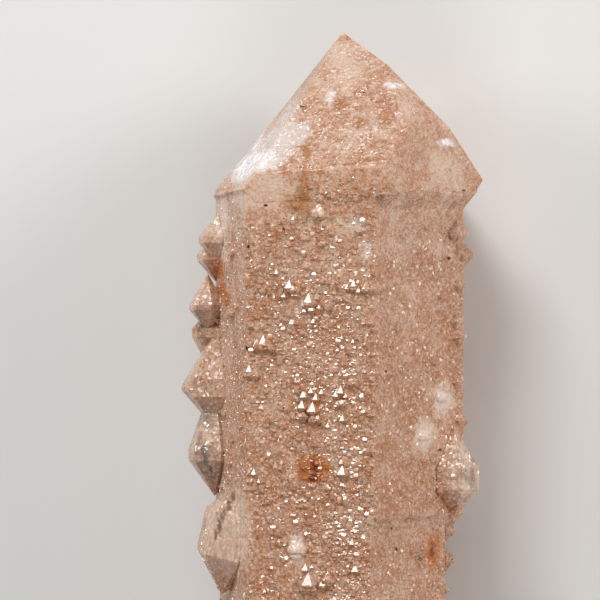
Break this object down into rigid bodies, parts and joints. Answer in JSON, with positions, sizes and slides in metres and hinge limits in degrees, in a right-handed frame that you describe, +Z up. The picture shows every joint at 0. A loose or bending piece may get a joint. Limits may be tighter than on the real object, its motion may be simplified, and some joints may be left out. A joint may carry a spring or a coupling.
{
  "type": "double terminated quartz crystal",
  "caption": "Milky pink-brown quartz point, terminated at both ends and crusted with small crystals, lying on one prism face.",
  "frame": {"origin": "on the surface the crystal lies on, under the middle of its outline seen from above", "axes": "+Y along the crystal's length towards the better formed point, +Z up out of the front prism face"},
  "size_m": [0.0384, 0.1062, 0.0289],
  "materials": {
    "milky_quartz": "glassy crystal faces, milky and slightly see-through, stained pink-brown"
  },
  "bodies": {
    "root": {"quartz_crystal": "milky_quartz"}
  },
  "joints": []
}
